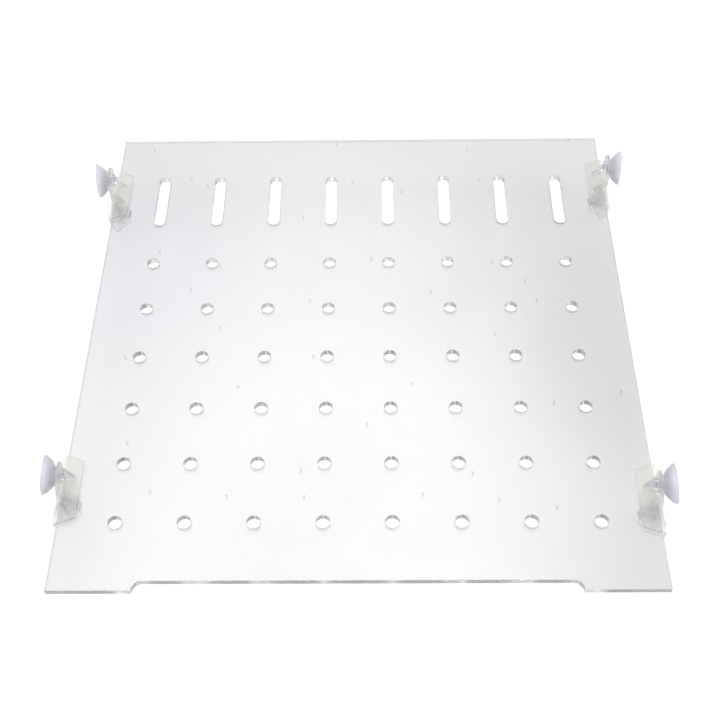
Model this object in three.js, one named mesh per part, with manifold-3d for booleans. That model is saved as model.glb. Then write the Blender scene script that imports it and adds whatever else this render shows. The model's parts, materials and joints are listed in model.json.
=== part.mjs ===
// Aquarium divider: a clear acrylic sheet held between two tank walls by four edge clips.
// Each clip grips the sheet's edge and carries a suction cup above the sheet and one below it.
//
// Millimetres. The sheet lies flat and the object rests on its four lower cups.
// +Z is the sheet's normal, +Y runs towards the slotted end, which is the top end in use,
// and the origin is under the centre of the sheet, at the level that the lower cups rest on.

import * as THREE from 'three';
import { mergeVertices } from 'three/addons/utils/BufferGeometryUtils.js';
import Module from 'manifold-3d';

const wasm = await Module();
wasm.setup();

// ---------------------------------------------------------------- driving dimensions

const sheet = { width: 417, length: 437, thickness: 5 };
const holes = { diameter: 10, pitch: 48, columns: 8, rows: 6, firstRowFromBottom: 51.5 };
const slots = { width: 10, length: 56, centreFromTop: 75 };
const notch = { width: 302, depth: 7 };
const arcSegments = { sheet: 10, tab: 8 };

const clip = {
  outerLength: 56.4,
  innerLength: 45.6,
  reach: 12.6,
  wall: 1.5,
  gap: 0.3,
};
const tab = {
  radius: 10,
  thickness: 2,
  axisHeight: 18.1,
  rootDepth: 0.7,
  seatRadius: 3.2,
  slitWidth: 3,
  slitBottom: 4.5,
};
const gusset = { thickness: 1.6, height: 14, reach: 9 };
const cup = {
  sides: 28,
  bowlSteps: 5,
  rimRadius: 14.25,
  rimDistance: 9,
  rimHeight: 0.4,
  lipWidth: 0.95,
  baseRadius: 6,
  bulge: { radius: 11.3, distance: 3.5 },
  hollowBulge: { radius: 10.6, distance: 4.4 },
  hollowEnd: 3.2,
  neckRadius: 2.5,
  endPlay: 0.9,
};
const head = {
  radius: 5.2,
  length: 4.1,
  edge: 1,
  collar: { radius: 2.3, fromTip: 1.3 },
  nub: { radius: 1.7, tipRadius: 1.4, length: 0.8 },
};

// Degrees: how far each soft tab leans in over the sheet, and how far the upper cup is turned
// in its keyhole to face the bottom end. Along is the clip's middle, from the sheet's middle.
const lowerLean = 17;
const places = [
  { name: 'top_left', side: -1, along: 150, upperLean: 0, turn: 6 },
  { name: 'top_right', side: 1, along: 161, upperLean: 0, turn: 6 },
  { name: 'bottom_left', side: -1, along: -141, upperLean: 8, turn: 0 },
  { name: 'bottom_right', side: 1, along: -150, upperLean: 7, turn: 0 },
];

// ---------------------------------------------------------------- worked-out dimensions

const radians = THREE.MathUtils.degToRad;
const jawInside = sheet.thickness / 2 + clip.gap;
const jawOutside = jawInside + clip.wall;
const clipFace = clip.gap + clip.wall;
const tabRootLevel = jawOutside - tab.rootDepth;

// A leaning tab swings its cup down, and the flat at the bottom of the rim touches the table.
const lean = radians(lowerLean);
const rimFlat = cup.rimRadius * Math.cos(Math.PI / cup.sides);
const sheetLevel = tabRootLevel
  + (tab.axisHeight + rimFlat) * Math.cos(lean)
  + cup.rimDistance * Math.sin(lean);

// ---------------------------------------------------------------- materials

function plastic(name, color, roughness, opacity) {
  return new THREE.MeshStandardMaterial({
    name,
    color,
    roughness,
    metalness: 0,
    opacity,
    transparent: opacity < 1,
  });
}

const acrylic = plastic('acrylic', 0xdde4e2, 0.08, 0.4);
const milkyPlastic = plastic('milky_plastic', 0xe6e6dd, 0.45, 0.8);
const softPlastic = plastic('soft_plastic', 0xb9c0d4, 0.25, 0.75);

// ---------------------------------------------------------------- solids

const xAxis = new THREE.Vector3(1, 0, 0);
const yAxis = new THREE.Vector3(0, 1, 0);
const zAxis = new THREE.Vector3(0, 0, 1);

// Turns a shape drawn across and up the tab into one that is extruded along X.
const facingX = new THREE.Matrix4().makeBasis(yAxis, zAxis, xAxis);

// Turns a shape drawn in the X and Z directions into one that is extruded along -Y.
const facingMinusY = new THREE.Matrix4().makeBasis(xAxis, zAxis, yAxis.clone().negate());

function extruded(shape, depth, curveSegments = 1) {
  return new THREE.ExtrudeGeometry(shape, { depth, curveSegments, bevelEnabled: false });
}

function toSolid(geometry) {
  const bare = geometry.index ? geometry.toNonIndexed() : geometry.clone();
  bare.deleteAttribute('normal');
  bare.deleteAttribute('uv');
  const merged = mergeVertices(bare, 1e-4);
  return new wasm.Manifold(new wasm.Mesh({
    numProp: 3,
    vertProperties: new Float32Array(merged.attributes.position.array),
    triVerts: new Uint32Array(merged.index.array),
  }));
}

function toGeometry(solid) {
  const mesh = solid.getMesh();
  const geometry = new THREE.BufferGeometry();
  geometry.setAttribute('position', new THREE.BufferAttribute(mesh.vertProperties, 3));
  geometry.setIndex(new THREE.BufferAttribute(mesh.triVerts, 1));
  geometry.computeVertexNormals();
  return geometry;
}

function joined(geometries) {
  return toGeometry(geometries.map(toSolid).reduce((whole, piece) => whole.add(piece)));
}

function polygon(points) {
  return new THREE.Shape(points.map(([x, y]) => new THREE.Vector2(x, y)));
}

// ---------------------------------------------------------------- divider sheet

function roundHole(x, y) {
  const path = new THREE.Path();
  path.absarc(x, y, holes.diameter / 2, 0, 2 * Math.PI, true);
  return path;
}

function slotHole(x, y) {
  const radius = slots.width / 2;
  const half = slots.length / 2 - radius;
  const path = new THREE.Path();
  path.absarc(x, y + half, radius, 0, Math.PI, false);
  path.absarc(x, y - half, radius, Math.PI, 2 * Math.PI, false);
  path.closePath();
  return path;
}

// The outline has two legs at its bottom end, with a shallow notch between them.
// The notch's upper corners are rounded over its whole depth.
function sheetOutline() {
  const right = sheet.width / 2;
  const top = sheet.length / 2;
  const inside = notch.width / 2;
  const roundCentre = inside - notch.depth;
  const outline = new THREE.Shape();
  outline.moveTo(-right, -top);
  outline.lineTo(-inside, -top);
  outline.absarc(-roundCentre, -top, notch.depth, Math.PI, Math.PI / 2, true);
  outline.absarc(roundCentre, -top, notch.depth, Math.PI / 2, 0, true);
  outline.lineTo(right, -top);
  outline.lineTo(right, top);
  outline.lineTo(-right, top);
  outline.closePath();
  return outline;
}

function columnPlaces() {
  const first = -holes.pitch * (holes.columns - 1) / 2;
  return Array.from({ length: holes.columns }, (_, column) => first + column * holes.pitch);
}

function sheetGeometry() {
  const outline = sheetOutline();
  const firstRow = holes.firstRowFromBottom - sheet.length / 2;
  for (const x of columnPlaces()) {
    outline.holes.push(slotHole(x, sheet.length / 2 - slots.centreFromTop));
    for (let row = 0; row < holes.rows; row += 1) {
      outline.holes.push(roundHole(x, firstRow + row * holes.pitch));
    }
  }
  const geometry = extruded(outline, sheet.thickness, arcSegments.sheet);
  return geometry.translate(0, 0, sheetLevel - sheet.thickness / 2);
}

// ---------------------------------------------------------------- edge clip
// A clip is drawn with the sheet's edge at x = 0, the sheet towards -X and its middle at z = 0.

// A jaw lies on one face of the sheet and is shorter along its inner edge.
function jaw(level) {
  const shape = polygon([
    [clipFace, -clip.outerLength / 2],
    [clipFace, clip.outerLength / 2],
    [-clip.reach, clip.innerLength / 2],
    [-clip.reach, -clip.innerLength / 2],
  ]);
  return extruded(shape, clip.wall).translate(0, 0, level);
}

function web() {
  const height = 2 * jawOutside - clip.wall;
  return new THREE.BoxGeometry(clip.wall, clip.outerLength, height)
    .translate(clipFace - clip.wall / 2, 0, 0);
}

// The keyhole is a round seat for the cup's neck with a slit running down from it.
function keyhole() {
  const halfSlit = tab.slitWidth / 2;
  const corner = Math.asin(halfSlit / tab.seatRadius);
  const path = new THREE.Path();
  path.absarc(0, tab.axisHeight, tab.seatRadius, -Math.PI / 2 + corner, 1.5 * Math.PI - corner, false);
  path.absarc(0, tab.slitBottom + halfSlit, halfSlit, Math.PI, 2 * Math.PI, false);
  path.closePath();
  return path;
}

function tabPlate() {
  const shape = new THREE.Shape();
  shape.moveTo(-tab.radius, 0);
  shape.lineTo(tab.radius, 0);
  shape.absarc(0, tab.axisHeight, tab.radius, 0, Math.PI, false);
  shape.closePath();
  shape.holes.push(keyhole());
  return extruded(shape, tab.thickness, arcSegments.tab)
    .applyMatrix4(facingX)
    .translate(-tab.thickness, 0, 0);
}

// Carries something drawn on an upright tab, with the tab's outer root edge at the origin,
// to its place on the clip. A positive lean brings the tab's end in over the sheet.
function tabPlacement(leanDegrees) {
  return new THREE.Matrix4()
    .makeTranslation(clipFace, 0, tabRootLevel)
    .multiply(new THREE.Matrix4().makeRotationY(-radians(leanDegrees)));
}

// A gusset's foot runs along the jaw, and its top meets the tab's inner face, upright or leaning.
function gussetPlate(leanDegrees, y) {
  const middle = -tab.thickness / 2;
  const top = new THREE.Vector3(middle, 0, tab.rootDepth + gusset.height)
    .applyMatrix4(tabPlacement(leanDegrees));
  const foot = jawOutside - clip.wall / 2;
  const shape = polygon([
    [-gusset.reach, foot],
    [clipFace + middle, foot],
    [top.x, top.z],
    [-gusset.reach, jawOutside],
  ]);
  return extruded(shape, gusset.thickness)
    .applyMatrix4(facingMinusY)
    .translate(0, y, 0);
}

function armPieces(leanDegrees) {
  return [
    tabPlate().applyMatrix4(tabPlacement(leanDegrees)),
    gussetPlate(leanDegrees, tab.radius),
    gussetPlate(leanDegrees, gusset.thickness - tab.radius),
  ];
}

function clipGeometry(upperLean) {
  const lowerArm = armPieces(lowerLean).map((piece) => piece.rotateX(Math.PI));
  return joined([web(), jaw(jawInside), jaw(-jawOutside), ...armPieces(upperLean), ...lowerArm]);
}

// ---------------------------------------------------------------- suction cup
// A cup is drawn with its axis along +X, towards the wall, and the tab's outer face at x = 0.

// One side of the bowl's wall, which swells out past the straight line between its ends.
function bowlCurve(start, bulge, end) {
  const control = new THREE.Vector2(bulge.radius, bulge.distance);
  return new THREE.QuadraticBezierCurve(start, control, end).getPoints(cup.bowlSteps);
}

// Radius and distance along the axis, from the head's nub round to the middle of the hollow.
function cupProfile() {
  const headBase = -tab.thickness - cup.endPlay;
  const tip = headBase - head.length;
  const rim = cup.rimDistance;
  const at = (radius, along) => new THREE.Vector2(radius, along);
  return [
    at(0, tip),
    at(head.nub.tipRadius, tip),
    at(head.nub.radius, tip + head.nub.length),
    at(head.collar.radius, tip + head.collar.fromTip),
    at(head.radius, headBase - head.edge),
    at(head.radius, headBase),
    at(cup.neckRadius, headBase),
    at(cup.neckRadius, cup.endPlay),
    ...bowlCurve(at(cup.baseRadius, cup.endPlay), cup.bulge, at(cup.rimRadius, rim - cup.rimHeight)),
    at(cup.rimRadius, rim),
    ...bowlCurve(at(cup.rimRadius - cup.lipWidth, rim), cup.hollowBulge, at(0, cup.hollowEnd)),
  ];
}

function cupGeometry() {
  return new THREE.LatheGeometry(cupProfile(), cup.sides, Math.PI / cup.sides)
    .rotateZ(-Math.PI / 2);
}

// The cup sits in the keyhole and turns a little about the upright axis of the tab.
function cupPlacement(leanDegrees, turnDegrees) {
  const plateMiddle = -tab.thickness / 2;
  return tabPlacement(leanDegrees)
    .multiply(new THREE.Matrix4().makeTranslation(plateMiddle, 0, tab.axisHeight))
    .multiply(new THREE.Matrix4().makeRotationZ(radians(turnDegrees)))
    .multiply(new THREE.Matrix4().makeTranslation(-plateMiddle, 0, 0));
}

// ---------------------------------------------------------------- assembly

function namedMesh(name, geometry, material) {
  const mesh = new THREE.Mesh(geometry, material);
  mesh.name = name;
  return mesh;
}

function placedMesh(name, geometry, material, matrix) {
  const mesh = namedMesh(name, geometry, material);
  matrix.decompose(mesh.position, mesh.quaternion, mesh.scale);
  return mesh;
}

// One clip with its two cups, drawn for the right-hand edge and turned round for the left-hand one.
function clipAssembly(place) {
  const assembly = new THREE.Group();
  assembly.position.set(place.side * sheet.width / 2, place.along, sheetLevel);
  assembly.rotation.z = place.side > 0 ? 0 : Math.PI;
  const upper = cupPlacement(place.upperLean, -place.side * place.turn);
  const lower = new THREE.Matrix4().makeRotationX(Math.PI).multiply(cupPlacement(lowerLean, 0));
  assembly.add(
    namedMesh(`clip_${place.name}`, clipGeometry(place.upperLean), milkyPlastic),
    placedMesh(`cup_${place.name}_upper`, cupGeometry(), softPlastic, upper),
    placedMesh(`cup_${place.name}_lower`, cupGeometry(), softPlastic, lower),
  );
  return assembly;
}

const group = new THREE.Group();
group.add(namedMesh('divider_sheet', sheetGeometry(), acrylic));
for (const place of places) {
  group.add(clipAssembly(place));
}

export default group;
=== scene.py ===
"""Looks of the tank divider: clear acrylic sheet, milky edge clips and soft suction cups.

Everything is in metres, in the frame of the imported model. Clip and cup places come from
the model's joints and boxes. The sizes in mm() follow the CAD's, with the cups a little
inside theirs.
"""

import json
import math

import bmesh
import bpy
from mathutils import Matrix, Vector
from mathutils.geometry import delaunay_2d_cdt


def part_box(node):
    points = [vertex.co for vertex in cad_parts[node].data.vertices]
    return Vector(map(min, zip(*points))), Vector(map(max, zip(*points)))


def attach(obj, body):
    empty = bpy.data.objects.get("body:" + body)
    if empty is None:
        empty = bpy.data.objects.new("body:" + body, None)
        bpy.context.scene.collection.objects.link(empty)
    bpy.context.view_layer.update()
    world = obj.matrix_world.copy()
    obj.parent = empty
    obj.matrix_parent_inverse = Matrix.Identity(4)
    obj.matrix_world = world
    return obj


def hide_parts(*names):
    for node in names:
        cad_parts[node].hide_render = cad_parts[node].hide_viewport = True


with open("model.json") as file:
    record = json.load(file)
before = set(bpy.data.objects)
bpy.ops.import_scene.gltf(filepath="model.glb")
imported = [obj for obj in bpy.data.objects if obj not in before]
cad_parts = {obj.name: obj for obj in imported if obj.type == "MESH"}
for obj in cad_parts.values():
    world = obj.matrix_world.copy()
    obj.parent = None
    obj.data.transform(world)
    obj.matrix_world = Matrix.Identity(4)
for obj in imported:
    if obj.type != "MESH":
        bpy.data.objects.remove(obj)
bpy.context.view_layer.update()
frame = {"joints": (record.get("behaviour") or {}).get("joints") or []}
joints = {joint["child"]: joint for joint in frame["joints"]}


def mm(value):
    return value / 1000


# ------------------------------------------------------------------ driving sizes

SHEET_LOW, SHEET_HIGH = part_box("divider_sheet")
SHEET_MIDDLE = (SHEET_LOW.z + SHEET_HIGH.z) / 2
HOLE_RADIUS = mm(5)
HOLE_SIDES = 48
HOLE_PITCH = mm(48)
HOLE_COLUMNS = 8
HOLE_ROWS = 6
FIRST_ROW_FROM_BOTTOM = mm(51.5)
SLOT_LENGTH = mm(56)
SLOT_FROM_TOP = mm(75)
NOTCH_WIDTH = mm(302)
NOTCH_DEPTH = mm(7)
NOTCH_STEPS = 16
EDGE_BREAK = mm(0.15)

CLIP_LENGTH = mm(56.4)
CLIP_INNER_LENGTH = mm(45.6)
CLIP_REACH = mm(12.6)
CLIP_WALL = mm(1.5)
CLIP_GAP = mm(0.3)
TAB_RADIUS = mm(10)
TAB_STEPS = 40
TAB_THICKNESS = mm(2)
TAB_AXIS_HEIGHT = mm(18.1)
TAB_ROOT_DEPTH = mm(0.7)
SEAT_RADIUS = mm(3.2)
SEAT_STEPS = 36
SLIT_WIDTH = mm(3)
SLIT_BOTTOM = mm(4.5)
SLIT_STEPS = 12
GUSSET_THICKNESS = mm(1.6)
GUSSET_HEIGHT = mm(14)
GUSSET_REACH = mm(9)

CUP_RIM = mm(9)
CUP_RADIUS = mm(14.1)
CUP_LIP = mm(0.85)
BOWL_FOOT_RADIUS = mm(5.7)
BOWL_BULGE = (mm(11.2), mm(3.55))
HOLLOW_BULGE = (mm(10.6), mm(4.4))
HOLLOW_END = mm(3.25)
BOWL_STEPS = 16
NECK_RADIUS = mm(2.5)
NECK_FLARE = mm(0.4)
HEAD_RADIUS = mm(5.2)
HEAD_LENGTH = mm(4.1)
HEAD_EDGE = mm(1.1)
NUB_RADIUS = mm(1.8)
NUB_LENGTH = mm(1)
NUB_FLARE = mm(0.5)
CUP_PLAY = mm(0.9)
CUP_SIDES = 96

PLACES = ("top_left", "top_right", "bottom_left", "bottom_right")

# Points nearer than this are one point. Drawn shapes have no detail as fine as that.
WELD_DISTANCE = 1e-7
FILL_TOLERANCE = 1e-9

# Enough for light to pass through a clip's walls, the cups and the sheet on its way to the table.
LIGHT_BOUNCES = 24


# ------------------------------------------------------------------ camera, floor and light

CAMERA_PLACE = (0.0125, -0.5612, 0.744)
CAMERA_HEADING = math.radians(-1.22)
CAMERA_PITCH = math.radians(52.84)
CAMERA_ROLL = math.radians(-1.276)
LENS_MM = 58
FILM_WIDTH_MM = 36
NEAREST_SEEN = 0.01

HORIZON_LIGHT = (0.48, 0.485, 0.49)
OVERHEAD_LIGHT = (0.90, 0.90, 0.90)
# The sine of the height above the horizon from which the walls are as bright as overhead.
OVERHEAD_FROM = 0.6

# Soft patches of the studio sky: the direction of the middle, the reach along each axis, the light.
# A big soft light beyond the slotted end, a dark corner on its right and a lilac wall on its left.
SKY_PATCHES = (
    ((-0.05, 0.42, 0.90), (0.32, 0.50, 0.42), (3.6, 3.6, 3.6)),
    ((0.21, 0.59, 0.78), (0.12, 0.12, 0.12), (-0.8, -0.8, -0.8)),
    ((-0.21, 0.65, 0.73), (0.14, 0.10, 0.10), (-0.1, -0.15, 0.4)),
)
# The share of its reach within which a patch has its full strength.
PATCH_CORE = 0.35

# So wide that no view from above the table shows its edge near the object.
FLOOR_HALF = 30.0
FLOOR_SHADE = (0.2, 0.2, 0.2, 1)
FLOOR_ROUGHNESS = 0.9
FLOOR_GLOW = 0.93


def make_camera():
    """The camera stands in front of the notched end and looks down at the sheet."""
    flat_forward = Vector((math.sin(CAMERA_HEADING), math.cos(CAMERA_HEADING), 0))
    forward = flat_forward * math.cos(CAMERA_PITCH) - Vector((0, 0, math.sin(CAMERA_PITCH)))
    level_right = Vector((math.cos(CAMERA_HEADING), -math.sin(CAMERA_HEADING), 0))
    level_up = level_right.cross(forward)
    right = level_right * math.cos(CAMERA_ROLL) + level_up * math.sin(CAMERA_ROLL)
    up = right.cross(forward)
    data = bpy.data.cameras.new("camera")
    data.lens = LENS_MM
    data.sensor_width = FILM_WIDTH_MM
    data.clip_start = NEAREST_SEEN
    camera = linked("camera", data)
    turn = Matrix((right, up, -forward)).transposed().to_4x4()
    camera.matrix_world = Matrix.Translation(CAMERA_PLACE) @ turn
    bpy.context.scene.camera = camera


def make_world():
    """Pale studio walls, dimmer towards the horizon, with soft patches of light and shade."""
    world = bpy.data.worlds.new("studio")
    bpy.context.scene.world = world
    world.use_nodes = True
    tree = world.node_tree
    direction = tree.nodes.new("ShaderNodeTexCoord").outputs["Generated"]
    split = tree.nodes.new("ShaderNodeSeparateXYZ")
    walls = tree.nodes.new("ShaderNodeValToRGB")
    dim, bright = walls.color_ramp.elements
    dim.position, bright.position = 0.0, OVERHEAD_FROM
    dim.color = (*HORIZON_LIGHT, 1)
    bright.color = (*OVERHEAD_LIGHT, 1)
    tree.links.new(direction, split.inputs[0])
    tree.links.new(split.outputs["Z"], walls.inputs["Fac"])
    light = walls.outputs["Color"]
    for centre, reach, color in SKY_PATCHES:
        total = tree.nodes.new("ShaderNodeVectorMath")
        tree.links.new(light, total.inputs[0])
        tree.links.new(soft_patch(tree, direction, centre, reach, color), total.inputs[1])
        light = total.outputs["Vector"]
    tree.links.new(light, tree.nodes["Background"].inputs["Color"])


def soft_patch(tree, direction, centre, reach, color):
    """A patch of the sky round a direction that fades out over its reach along each axis."""

    def vector_math(operation):
        node = tree.nodes.new("ShaderNodeVectorMath")
        node.operation = operation
        return node

    offset = vector_math("SUBTRACT")
    offset.inputs[1].default_value = centre
    spread = vector_math("DIVIDE")
    spread.inputs[1].default_value = reach
    distance = vector_math("LENGTH")
    fade = tree.nodes.new("ShaderNodeMapRange")
    fade.interpolation_type = "SMOOTHSTEP"
    fade.inputs["From Min"].default_value = 1.0
    fade.inputs["From Max"].default_value = PATCH_CORE
    tinted = vector_math("SCALE")
    tinted.inputs[0].default_value = color
    tree.links.new(direction, offset.inputs[0])
    tree.links.new(offset.outputs["Vector"], spread.inputs[0])
    tree.links.new(spread.outputs["Vector"], distance.inputs[0])
    tree.links.new(distance.outputs["Value"], fade.inputs["Value"])
    tree.links.new(fade.outputs["Result"], tinted.inputs["Scale"])
    return tinted.outputs["Vector"]


def make_floor():
    """A lit white table, which keeps the ground under the clear sheet as white as around it."""
    mesh = bpy.data.meshes.new("floor")
    signs = ((-1, -1), (1, -1), (1, 1), (-1, 1))
    mesh.from_pydata([(FLOOR_HALF * x, FLOOR_HALF * y, 0) for x, y in signs], [], [(0, 1, 2, 3)])
    floor = linked("floor", mesh)
    material = bpy.data.materials.new("floor_white")
    material.use_nodes = True
    shader = material.node_tree.nodes["Principled BSDF"]
    shader.inputs["Base Color"].default_value = FLOOR_SHADE
    shader.inputs["Roughness"].default_value = FLOOR_ROUGHNESS
    shader.inputs["Specular IOR Level"].default_value = 0.0
    shader.inputs["Emission Color"].default_value = (1, 1, 1, 1)
    shader.inputs["Emission Strength"].default_value = FLOOR_GLOW
    mesh.materials.append(material)


# ------------------------------------------------------------------ materials

# Nearly all values of a noise pattern lie between these two, which get the two tints.
NOISE_RANGE = (0.3, 0.7)


class Plastic:
    """A see-through plastic, varied all over by one noise pattern.

    The pattern runs the tint between two colours and the roughness between two values.
    """

    def __init__(
        self,
        name,
        *,
        ior,
        transmission,
        tints,
        roughness,
        scale,
        detail=3,
        stretch=(1, 1, 1),
    ):
        self.material = bpy.data.materials.new(name)
        self.material.use_nodes = True
        self.tree = self.material.node_tree
        self.shader = self.tree.nodes["Principled BSDF"]
        self.shader.inputs["IOR"].default_value = ior
        self.shader.inputs["Transmission Weight"].default_value = transmission
        self.where = self.place(stretch)
        pattern = self.noise(scale, detail)
        self.tint = self.ramp(pattern, NOISE_RANGE, tints)
        self.link(self.tint, self.shader.inputs["Base Color"])
        self.link(self.between(pattern, roughness), self.shader.inputs["Roughness"])

    def add(self, kind, **settings):
        node = self.tree.nodes.new(kind)
        for key, value in settings.items():
            setattr(node, key, value)
        return node

    def link(self, start, end):
        self.tree.links.new(start, end)

    def place(self, stretch):
        coordinates = self.add("ShaderNodeTexCoord")
        mapping = self.add("ShaderNodeMapping")
        mapping.inputs["Scale"].default_value = stretch
        self.link(coordinates.outputs["Object"], mapping.inputs["Vector"])
        return mapping.outputs["Vector"]

    def noise(self, scale, detail):
        node = self.add("ShaderNodeTexNoise")
        node.inputs["Scale"].default_value = scale
        node.inputs["Detail"].default_value = detail
        self.link(self.where, node.inputs["Vector"])
        return node.outputs["Fac"]

    def ramp(self, value, ends, colors):
        node = self.add("ShaderNodeValToRGB")
        for element, position, color in zip(node.color_ramp.elements, ends, colors):
            element.position = position
            element.color = (*color, 1)
        self.link(value, node.inputs["Fac"])
        return node.outputs["Color"]

    def between(self, value, ends):
        node = self.add("ShaderNodeMapRange")
        node.inputs["To Min"].default_value, node.inputs["To Max"].default_value = ends
        self.link(value, node.inputs["Value"])
        return node.outputs["Result"]

    def add_specks(self, scale, radius, darkest):
        """Darkens the tint in small round specks, about one to a cell of a pattern of cells."""
        cells = self.add("ShaderNodeTexVoronoi", voronoi_dimensions="2D")
        cells.inputs["Scale"].default_value = scale
        self.link(self.where, cells.inputs["Vector"])
        shade = self.add("ShaderNodeMapRange")
        shade.inputs["From Min"].default_value = radius / 2
        shade.inputs["From Max"].default_value = radius
        shade.inputs["To Min"].default_value = darkest
        self.link(cells.outputs["Distance"], shade.inputs["Value"])
        darkened = self.add("ShaderNodeVectorMath", operation="SCALE")
        self.link(self.tint, darkened.inputs[0])
        self.link(shade.outputs["Result"], darkened.inputs["Scale"])
        self.link(darkened.outputs["Vector"], self.shader.inputs["Base Color"])

    def add_bump(self, scale, detail, strength, distance):
        node = self.add("ShaderNodeBump")
        node.inputs["Strength"].default_value = strength
        node.inputs["Distance"].default_value = distance
        self.link(self.noise(scale, detail), node.inputs["Height"])
        self.link(node.outputs["Normal"], self.shader.inputs["Normal"])


def acrylic_material():
    """Polished faces of clear cast acrylic, with faint random haze and specks of dust. The grey of
    its tint is painted shade, standing in for the sheet's own shadow on the table, which the glowing
    floor leaves out.
    """
    acrylic = Plastic(
        "acrylic_face",
        ior=1.49,
        transmission=1.0,
        # Painted shade: this grey darkens the whole sheet in place of its shadow on the table.
        tints=((0.68, 0.683, 0.68), (0.71, 0.713, 0.71)),
        roughness=(0.0, 0.04),
        scale=9,
        detail=4,
    )
    acrylic.add_specks(scale=15, radius=0.016, darkest=0.5)
    return acrylic.material


def acrylic_edge_material():
    """Saw-cut and flame-polished edges and hole walls: greener and a little frosted."""
    return Plastic(
        "acrylic_edge",
        ior=1.49,
        transmission=0.6,
        tints=((0.78, 0.80, 0.78), (0.90, 0.92, 0.90)),
        roughness=(0.15, 0.35),
        scale=160,
        stretch=(1, 1, 6),
    ).material


def clip_material():
    """Milky polyethylene, warm white, satin, with flow marks from moulding."""
    milky = Plastic(
        "clip_plastic",
        ior=1.28,
        transmission=0.98,
        tints=((0.985, 0.985, 0.965), (1.0, 1.0, 0.98)),
        roughness=(0.33, 0.43),
        scale=60,
    )
    milky.add_bump(scale=900, detail=2, strength=0.15, distance=mm(0.2))
    return milky.material


def clip_underside_lightened_material():
    """A lighter, clearer copy of the clip's plastic for its parts under the sheet: painted light that
    makes up for the shade there, so that they show as little through the sheet.
    """
    return Plastic(
        "clip_underside_painted_light",
        ior=1.2,
        transmission=1.0,
        tints=((0.98, 0.98, 0.965), (0.99, 0.99, 0.975)),
        roughness=(0.28, 0.38),
        scale=60,
    ).material


def cup_material():
    """Soft vinyl with a blue-violet tint, a little cloudy."""
    return Plastic(
        "cup_vinyl",
        ior=1.38,
        transmission=0.68,
        tints=((0.90, 0.905, 0.965), (0.94, 0.945, 0.99)),
        roughness=(0.28, 0.38),
        scale=90,
    ).material


def cup_head_dark_reflection_material():
    """The mushroom head and neck, moulded glossier than the bowl. Their tint, darker than the bowl's,
    is painted reflection: it stands in for dark surroundings reflected in the heads.
    """
    return Plastic(
        "cup_head_painted_reflection",
        ior=1.5,
        transmission=1.0,
        # Painted reflection: the dark end of this tint gives the heads their dark marks.
        tints=((0.66, 0.67, 0.75), (0.84, 0.85, 0.91)),
        roughness=(0.0, 0.06),
        scale=150,
    ).material


def lower_cup_lightened_material():
    """The same vinyl, painted lighter and made clearer for the cups under the sheet: a lit copy that
    stands in for the light from the table below them, not a different vinyl.
    """
    return Plastic(
        "cup_vinyl_painted_light",
        ior=1.25,
        transmission=0.96,
        tints=((0.93, 0.935, 0.975), (0.95, 0.955, 0.985)),
        roughness=(0.15, 0.3),
        scale=90,
    ).material


# ------------------------------------------------------------------ mesh helpers


def linked(name, data):
    piece = bpy.data.objects.new(name, data)
    bpy.context.scene.collection.objects.link(piece)
    return piece


def arc(centre, radius, start, end, steps):
    """Points on an arc, both ends included, angles in degrees."""
    angles = [math.radians(start + (end - start) * i / steps) for i in range(steps + 1)]
    return [(centre[0] + radius * math.cos(a), centre[1] + radius * math.sin(a)) for a in angles]


def prism(name, outline, depth, holes=()):
    """A flat outline with holes, drawn in XY and extruded upwards from z = 0 by depth."""
    curve = bpy.data.curves.new(name, "CURVE")
    curve.dimensions = "2D"
    curve.fill_mode = "BOTH"
    curve.extrude = depth / 2
    for loop in (outline, *holes):
        spline = curve.splines.new("POLY")
        spline.points.add(len(loop) - 1)
        for point, (x, y) in zip(spline.points, loop):
            point.co = (x, y, 0, 1)
        spline.use_cyclic_u = True
    shape = linked(name, curve)
    mesh = final_mesh(shape)
    bpy.data.objects.remove(shape)
    mesh.transform(Matrix.Translation((0, 0, depth / 2)))
    weld(mesh)
    return mesh


def final_mesh(piece):
    """A new mesh of what a curve or a piece with modifiers comes to."""
    bpy.context.view_layer.update()
    seen = piece.evaluated_get(bpy.context.evaluated_depsgraph_get())
    return bpy.data.meshes.new_from_object(seen)


def weld(mesh):
    edit = bmesh.new()
    edit.from_mesh(mesh)
    bmesh.ops.remove_doubles(edit, verts=edit.verts, dist=WELD_DISTANCE)
    bmesh.ops.dissolve_degenerate(edit, dist=WELD_DISTANCE, edges=edit.edges)
    bmesh.ops.recalc_face_normals(edit, faces=edit.faces)
    edit.to_mesh(mesh)
    edit.free()


def smooth(mesh, sharp_from):
    """Smooth shading, save at edges that turn by more than so many degrees."""
    mesh.shade_smooth()
    mesh.set_sharp_from_angle(angle=math.radians(sharp_from))


# ------------------------------------------------------------------ divider sheet


def hole_loop(x, y, grow):
    last = 360 - 360 / HOLE_SIDES
    return arc((x, y), HOLE_RADIUS + grow, 0, last, HOLE_SIDES - 1)


def slot_loop(x, y, grow):
    half = SLOT_LENGTH / 2 - HOLE_RADIUS
    upper = arc((x, y + half), HOLE_RADIUS + grow, 0, 180, HOLE_SIDES // 2)
    return upper + arc((x, y - half), HOLE_RADIUS + grow, 180, 360, HOLE_SIDES // 2)


def sheet_outline(shrink):
    """The sheet's outline, drawn in by shrink on every side, from the lower left corner."""
    round_centre = NOTCH_WIDTH / 2 - NOTCH_DEPTH
    radius = NOTCH_DEPTH + shrink
    left, right = SHEET_LOW.x + shrink, SHEET_HIGH.x - shrink
    bottom, top = SHEET_LOW.y + shrink, SHEET_HIGH.y - shrink
    rise = math.degrees(math.asin(shrink / radius))
    outline = [(left, bottom)]
    outline += arc((-round_centre, SHEET_LOW.y), radius, 180 - rise, 90, NOTCH_STEPS)
    outline += arc((round_centre, SHEET_LOW.y), radius, 90, rise, NOTCH_STEPS)
    outline += [(right, bottom), (right, top), (left, top)]
    return outline


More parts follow.
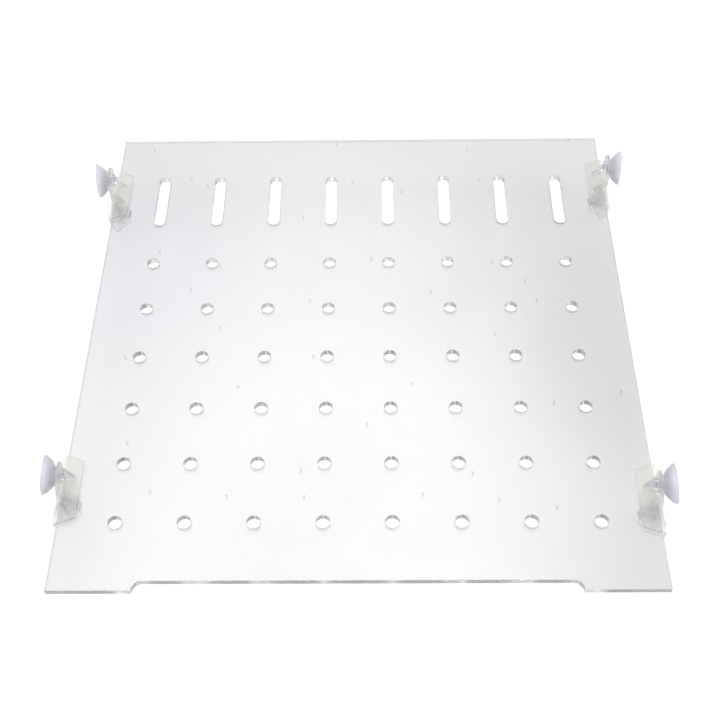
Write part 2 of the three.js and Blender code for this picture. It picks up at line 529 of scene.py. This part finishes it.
def sheet_loops(shrink):
    """The sheet's outline and all its openings, with shrink taken off the material's edges."""
    loops = [sheet_outline(shrink)]
    first_column = -HOLE_PITCH * (HOLE_COLUMNS - 1) / 2
    for column in range(HOLE_COLUMNS):
        x = first_column + column * HOLE_PITCH
        loops.append(slot_loop(x, SHEET_HIGH.y - SLOT_FROM_TOP, shrink))
        for row in range(HOLE_ROWS):
            y = SHEET_LOW.y + FIRST_ROW_FROM_BOTTOM + row * HOLE_PITCH
            loops.append(hole_loop(x, y, shrink))
    return loops


def make_sheet(*looks):
    """Flat faces, straight walls and a fine chamfer round the outline and every opening.

    The looks are those of the polished faces and of the edges.
    """
    polished, sawn = 0, 1
    levels = [
        (EDGE_BREAK, SHEET_LOW.z),
        (0, SHEET_LOW.z + EDGE_BREAK),
        (0, SHEET_HIGH.z - EDGE_BREAK),
        (EDGE_BREAK, SHEET_HIGH.z),
    ]
    edit = bmesh.new()
    rims = []
    for shrink, height in levels:
        loops = sheet_loops(shrink)
        rims.append([[edit.verts.new((x, y, height)) for x, y in loop] for loop in loops])
    for below, above in zip(rims, rims[1:]):
        for low_loop, high_loop in zip(below, above):
            for i in range(len(low_loop)):
                corners = (low_loop[i - 1], low_loop[i], high_loop[i], high_loop[i - 1])
                wall = edit.faces.new(corners)
                wall.material_index = polished if on_a_long_side(wall) else sawn
    for rim in (rims[0], rims[-1]):
        add_face_with_openings(edit, rim)
    bmesh.ops.recalc_face_normals(edit, faces=edit.faces)
    mesh = bpy.data.meshes.new("acrylic_sheet")
    edit.to_mesh(mesh)
    edit.free()
    for material in looks:
        mesh.materials.append(material)
    smooth(mesh, sharp_from=20)
    sheet = linked("acrylic_sheet", mesh)
    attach(sheet, "sheet")
    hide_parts("divider_sheet")


def on_a_long_side(wall):
    """The long sides are polished like the faces, so their walls don't show through the sheet."""
    return all(abs(corner.co.x) > SHEET_HIGH.x - 2 * EDGE_BREAK for corner in wall.verts)


def add_face_with_openings(edit, loops):
    """Fills a flat outline, less its convex openings, with well-shaped triangles."""
    vertices = []
    owners = []
    edges = []
    for number, loop in enumerate(loops):
        start = len(vertices)
        edges += [(start + i, start + (i + 1) % len(loop)) for i in range(len(loop))]
        vertices += loop
        owners += [number] * len(loop)
    flat = [Vector(vertex.co.xy) for vertex in vertices]
    inside_the_outline = 1
    _, _, triangles, sources, _, _ = delaunay_2d_cdt(
        flat, edges, [], inside_the_outline, FILL_TOLERANCE
    )
    for triangle in triangles:
        corners = [sources[i][0] for i in triangle]
        touched = {owners[corner] for corner in corners}
        fills_an_opening = len(touched) == 1 and touched != {0}
        if not fills_an_opening:
            edit.faces.new([vertices[corner] for corner in corners])


# ------------------------------------------------------------------ edge clips
# A clip is drawn with the sheet's edge at x = 0, the sheet towards -X and its middle at z = 0.

JAW_INSIDE = (SHEET_HIGH.z - SHEET_LOW.z) / 2 + CLIP_GAP
JAW_OUTSIDE = JAW_INSIDE + CLIP_WALL
CLIP_FACE = CLIP_GAP + CLIP_WALL
TAB_ROOT_LEVEL = JAW_OUTSIDE - TAB_ROOT_DEPTH

FACING_X = Matrix(((0, 0, 1, 0), (1, 0, 0, 0), (0, 1, 0, 0), (0, 0, 0, 1)))
FACING_MINUS_Y = Matrix(((1, 0, 0, 0), (0, 0, -1, 0), (0, 1, 0, 0), (0, 0, 0, 1)))


def tab_placement(lean):
    return Matrix.Translation((CLIP_FACE, 0, TAB_ROOT_LEVEL)) @ Matrix.Rotation(-lean, 4, "Y")


def channel_mesh():
    """The U-shaped channel: one outline for both jaws, less the room for the sheet."""
    side = [
        (CLIP_FACE, -JAW_OUTSIDE),
        (CLIP_FACE, JAW_OUTSIDE),
        (-CLIP_REACH, JAW_OUTSIDE),
        (-CLIP_REACH, JAW_INSIDE),
        (CLIP_GAP, JAW_INSIDE),
        (CLIP_GAP, -JAW_INSIDE),
        (-CLIP_REACH, -JAW_INSIDE),
        (-CLIP_REACH, -JAW_OUTSIDE),
    ]
    mesh = prism("channel", side, CLIP_LENGTH)
    mesh.transform(Matrix.Translation((0, CLIP_LENGTH / 2, 0)) @ FACING_MINUS_Y)
    taper = (CLIP_LENGTH - CLIP_INNER_LENGTH) / 2 / (CLIP_REACH + CLIP_FACE)
    for vertex in mesh.vertices:
        inward = (CLIP_FACE - vertex.co.x) * taper
        vertex.co.y -= math.copysign(inward, vertex.co.y)
    return mesh


def tab_mesh(lean):
    """A plate with a round top and a keyhole: a round seat for the neck and a slit below it."""
    axis = (0, TAB_AXIS_HEIGHT)
    half_slit = SLIT_WIDTH / 2
    corner = math.degrees(math.asin(half_slit / SEAT_RADIUS))
    outline = [(-TAB_RADIUS, 0), (TAB_RADIUS, 0)] + arc(axis, TAB_RADIUS, 0, 180, TAB_STEPS)
    keyhole = arc(axis, SEAT_RADIUS, -90 + corner, 270 - corner, SEAT_STEPS)
    keyhole += arc((0, SLIT_BOTTOM + half_slit), half_slit, 180, 360, SLIT_STEPS)
    mesh = prism("tab", outline, TAB_THICKNESS, [keyhole])
    mesh.transform(tab_placement(lean) @ Matrix.Translation((-TAB_THICKNESS, 0, 0)) @ FACING_X)
    return mesh


def gusset_mesh(lean, y):
    """A triangular web from the jaw up to the middle of the tab's thickness, ending at y."""
    middle = -TAB_THICKNESS / 2
    top = tab_placement(lean) @ Vector((middle, 0, TAB_ROOT_DEPTH + GUSSET_HEIGHT))
    foot = JAW_OUTSIDE - CLIP_WALL / 2
    outline = [
        (-GUSSET_REACH, foot),
        (CLIP_FACE + middle, foot),
        (top.x, top.z),
        (-GUSSET_REACH, JAW_OUTSIDE),
    ]
    mesh = prism("gusset", outline, GUSSET_THICKNESS)
    mesh.transform(Matrix.Translation((0, y, 0)) @ FACING_MINUS_Y)
    return mesh


def arm_meshes(lean):
    return [
        tab_mesh(lean),
        gusset_mesh(lean, TAB_RADIUS),
        gusset_mesh(lean, GUSSET_THICKNESS - TAB_RADIUS),
    ]


def united(name, meshes):
    """One closed mesh from overlapping ones."""
    whole = linked(name, meshes[0])
    for mesh in meshes[1:]:
        other = linked("joined", mesh)
        union = whole.modifiers.new("union", "BOOLEAN")
        union.operation = "UNION"
        union.solver = "EXACT"
        union.object = other
        mesh_so_far = final_mesh(whole)
        whole.modifiers.clear()
        whole.data = mesh_so_far
        bpy.data.objects.remove(other)
    return whole


def make_clip(place, *looks):
    """The looks are those of the clip and of its parts under the sheet, which get a lighter copy of
    the plastic as painted light. Its edges are sharp.
    """
    face_look, underside_look = range(2)
    upper = joints[f"cup_{place}_upper"]["axis"]
    lower = joints[f"cup_{place}_lower"]["axis"]
    low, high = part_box(f"clip_{place}")
    side = 1 if low.x > 0 else -1
    edge_x = SHEET_HIGH.x if side > 0 else SHEET_LOW.x
    upper_arm = arm_meshes(math.asin(upper[2]))
    lower_arm = arm_meshes(math.asin(-lower[2]))
    for mesh in lower_arm:
        mesh.transform(Matrix.Rotation(math.pi, 4, "X"))
    clip = united(f"moulded_clip_{place}", [channel_mesh(), *upper_arm, *lower_arm])
    turn = Matrix.Rotation(0 if side > 0 else math.pi, 4, "Z")
    middle = Matrix.Translation((edge_x, (low.y + high.y) / 2, SHEET_MIDDLE))
    clip.data.transform(middle @ turn)
    clip.data.materials.clear()
    for material in looks:
        clip.data.materials.append(material)
    # Faces below the sheet take the lighter copy: painted light over the shade under the sheet.
    for face in clip.data.polygons:
        face.material_index = underside_look if face.center.z < SHEET_LOW.z else face_look
    smooth(clip.data, sharp_from=40)
    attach(clip, f"clip_{place}")
    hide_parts(f"clip_{place}")


# ------------------------------------------------------------------ suction cups
# A cup is drawn with its axis along +X, towards the wall, and the tab's outer face at x = 0.


def bowl_curve(start, bulge, end):
    """One side of the bowl's wall, which swells out past the straight line between its ends."""
    points = []
    for i in range(BOWL_STEPS + 1):
        t = i / BOWL_STEPS
        weighted = list(zip(((1 - t) ** 2, 2 * t * (1 - t), t**2), (start, bulge, end)))
        points.append(tuple(sum(weight * point[k] for weight, point in weighted) for k in (0, 1)))
    return points


def cup_profile():
    """Radius and distance along the axis, from the head's tip round to the hollow's centre."""
    head_base = -TAB_THICKNESS - CUP_PLAY
    tip = head_base - HEAD_LENGTH
    nub = [
        (0, tip),
        (NUB_RADIUS - mm(0.6), tip),
        (NUB_RADIUS - mm(0.1), tip + mm(0.4)),
        (NUB_RADIUS, tip + NUB_LENGTH),
        (NUB_RADIUS + mm(0.7), tip + NUB_LENGTH + NUB_FLARE),
    ]
    head = [
        (HEAD_RADIUS - mm(0.2), head_base - HEAD_EDGE),
        (HEAD_RADIUS, head_base - mm(0.7)),
        (HEAD_RADIUS - mm(0.1), head_base - mm(0.1)),
        (HEAD_RADIUS - mm(0.6), head_base),
    ]
    neck = [
        (NECK_RADIUS + NECK_FLARE, head_base),
        (NECK_RADIUS, head_base + NECK_FLARE),
        (NECK_RADIUS, CUP_PLAY - NECK_FLARE),
        (NECK_RADIUS + NECK_FLARE, CUP_PLAY),
    ]
    bowl_end = (CUP_RADIUS - mm(0.05), CUP_RIM - mm(0.45))
    bowl = bowl_curve((BOWL_FOOT_RADIUS, CUP_PLAY), BOWL_BULGE, bowl_end)
    lip = [
        (CUP_RADIUS, CUP_RIM - mm(0.2)),
        (CUP_RADIUS - mm(0.1), CUP_RIM),
    ]
    hollow = bowl_curve((CUP_RADIUS - CUP_LIP, CUP_RIM), HOLLOW_BULGE, (0, HOLLOW_END))
    return nub + head + neck + bowl + lip + hollow


def lathe(name, profile, sides):
    """A closed mesh turned about the X axis."""
    turns = [2 * math.pi * i / sides for i in range(sides)]
    edit = bmesh.new()
    rings = []
    for radius, along in profile:
        if radius == 0:
            rings.append([edit.verts.new((along, 0, 0))] * sides)
            continue
        ring = [(along, radius * math.cos(t), radius * math.sin(t)) for t in turns]
        rings.append([edit.verts.new(point) for point in ring])
    for first, second in zip(rings, rings[1:]):
        for i in range(sides):
            j = (i + 1) % sides
            corners = dict.fromkeys((first[i], first[j], second[j], second[i]))
            edit.faces.new(list(corners))
    bmesh.ops.recalc_face_normals(edit, faces=edit.faces)
    mesh = bpy.data.meshes.new(name)
    edit.to_mesh(mesh)
    edit.free()
    return mesh


def make_cup(node, *looks):
    """The looks are those of its bowl and of its head and neck."""
    bowl_look, head_look = range(2)
    joint = joints[node]
    axis = Vector(joint["axis"]).normalized()
    across = axis.cross(Vector((0, 0, 1))).normalized()
    upright = across.cross(axis)
    turn = Matrix((axis, -across, upright)).transposed().to_4x4()
    mesh = lathe(f"suction_{node}", cup_profile(), CUP_SIDES)
    for material in looks:
        mesh.materials.append(material)
    for face in mesh.polygons:
        face.material_index = head_look if face.center.x < 0 else bowl_look
    seat = Matrix.Translation(joint["pos_m"])
    mesh.transform(seat @ turn @ Matrix.Translation((TAB_THICKNESS / 2, 0, 0)))
    smooth(mesh, sharp_from=60)
    cup = linked(f"suction_{node}", mesh)
    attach(cup, node)
    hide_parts(node)


# ------------------------------------------------------------------ making


def main():
    scene = bpy.context.scene
    scene.view_settings.view_transform = "Standard"
    scene.cycles.max_bounces = LIGHT_BOUNCES
    scene.cycles.transmission_bounces = LIGHT_BOUNCES
    scene.cycles.glossy_bounces = LIGHT_BOUNCES
    scene.cycles.diffuse_bounces = LIGHT_BOUNCES
    make_camera()
    make_world()
    make_floor()
    make_sheet(acrylic_material(), acrylic_edge_material())
    clip_plastic = clip_material()
    clip_underside_painted_light = clip_underside_lightened_material()
    cup_vinyl = cup_material()
    cup_vinyl_painted_light = lower_cup_lightened_material()
    cup_head_painted_reflection = cup_head_dark_reflection_material()
    for place in PLACES:
        make_clip(place, clip_plastic, clip_underside_painted_light)
        make_cup(f"cup_{place}_upper", cup_vinyl, cup_head_painted_reflection)
        # The lower cups take the lighter copy of the vinyl: painted light.
        make_cup(f"cup_{place}_lower", cup_vinyl_painted_light, cup_head_painted_reflection)


main()
